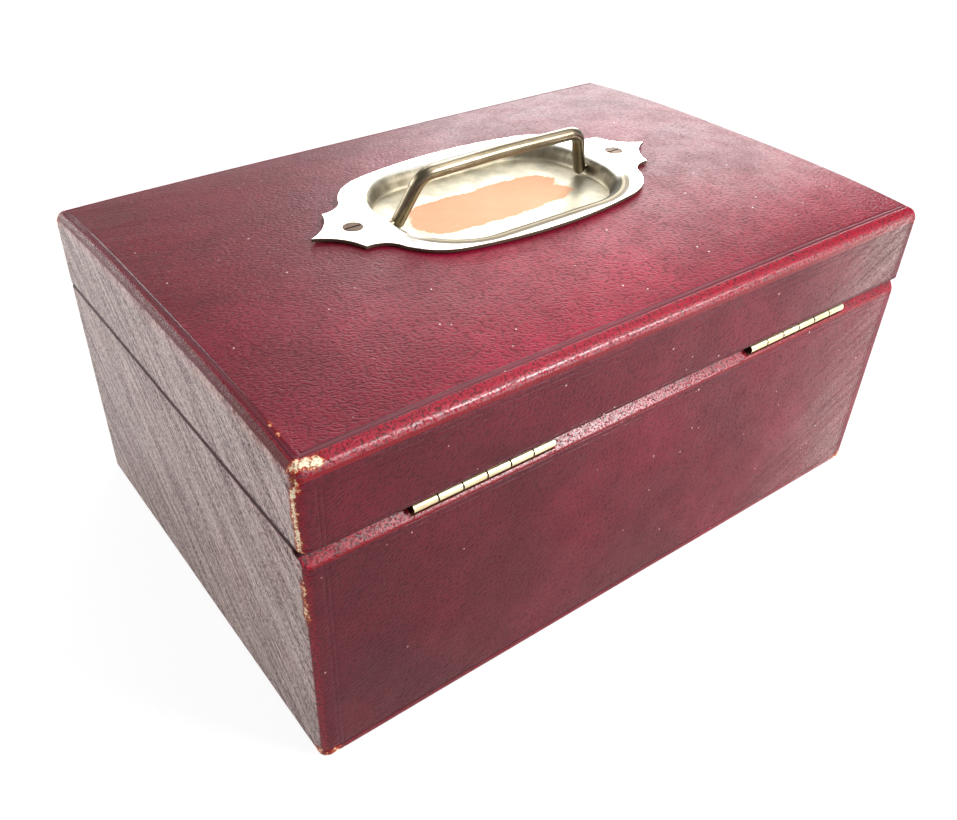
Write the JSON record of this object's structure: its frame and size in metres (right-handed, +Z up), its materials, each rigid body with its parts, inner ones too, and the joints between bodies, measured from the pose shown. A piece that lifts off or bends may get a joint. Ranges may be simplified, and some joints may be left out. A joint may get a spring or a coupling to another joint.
{
  "type": "jewellery casket",
  "caption": "Lidded jewel casket in red grained leather, with a domed lid, a flush silver handle, hinges at the back, a lock and a lift-out tray.",
  "frame": {"origin": "on the surface the casket stands on, under the middle of its box", "axes": "+X along the width to the right seen from the locked front, +Y from the front to the hinged back, +Z up"},
  "size_m": [0.28, 0.1912, 0.1529],
  "materials": {
    "red_leather": "straight-grained leather, worn pale at the corners",
    "under_cover": "smooth dark leather",
    "velvet": "short pile velvet",
    "carcass_wood": "plain sawn hardwood",
    "hinge_brass": "dull pale brass",
    "lock_brass": "brushed brass",
    "screw_steel": "rust-darkened steel",
    "silver_plate": "silver plate, worn to copper in the pan",
    "bail_nickel": "tarnished nickel silver"
  },
  "bodies": {
    "base": {"base_front_board": "carcass_wood", "base_back_board": "carcass_wood", "base_right_board": "carcass_wood", "base_left_board": "carcass_wood", "base_bottom_board": "carcass_wood", "base_floor_cover": "under_cover", "base_leather": "red_leather", "front_liner": "velvet", "back_liner": "velvet", "right_liner": "velvet", "left_liner": "velvet", "base_wall_velvet": "velvet", "floor_pad": "velvet", "base_right_hinge": "hinge_brass", "base_left_hinge": "hinge_brass", "hinge_pins": "hinge_brass", "base_hinge_screws": "screw_steel", "lock_case": "lock_brass", "lock_face_plate": "lock_brass", "lock_face_screws": "screw_steel", "escutcheon": "silver_plate", "escutcheon_pins": "screw_steel"},
    "lid": {"lid_front_rail": "carcass_wood", "lid_back_rail": "carcass_wood", "lid_right_rail": "carcass_wood", "lid_left_rail": "carcass_wood", "lid_top_board": "carcass_wood", "lid_leather": "red_leather", "lid_wall_velvet": "velvet", "lid_pad": "velvet", "lid_right_hinge": "hinge_brass", "lid_left_hinge": "hinge_brass", "lid_hinge_screws": "screw_steel", "striker_plate": "lock_brass", "striker_right_lug": "lock_brass", "striker_left_lug": "lock_brass", "striker_screws": "screw_steel", "handle_plate": "silver_plate", "handle_pan": "silver_plate", "handle_screws": "screw_steel"},
    "handle": {"bail_handle": "bail_nickel"},
    "bolt": {"lock_bolt": "lock_brass"},
    "tray": {"tray_front_wall": "velvet", "tray_back_wall": "velvet", "tray_right_wall": "velvet", "tray_left_wall": "velvet", "tray_floor": "velvet", "tray_long_divider": "velvet", "tray_front_right_divider": "velvet", "tray_front_left_divider": "velvet", "tray_back_right_divider": "velvet", "tray_back_left_divider": "velvet", "ring_rolls": "velvet", "tray_pads": "velvet"}
  },
  "joints": [
    {"name": "lid_hinge", "type": "hinge", "parent": "base", "child": "lid", "pos_m": [0, 0.09405, 0.09285], "axis": [-1, 0, 0], "range_deg": [0, 100]},
    {"name": "handle_swing", "type": "hinge", "parent": "lid", "child": "handle", "pos_m": [0, 0, 0.132], "axis": [1, 0, 0], "range_deg": [-75, 105]},
    {"name": "bolt_slide", "type": "slide", "parent": "base", "child": "bolt", "axis": [1, 0, 0], "range_m": [0, 0.006]},
    {"name": "tray_lift", "type": "slide", "parent": "base", "child": "tray", "axis": [0, 0, 1], "range_m": [0, 0.015]}
  ]
}
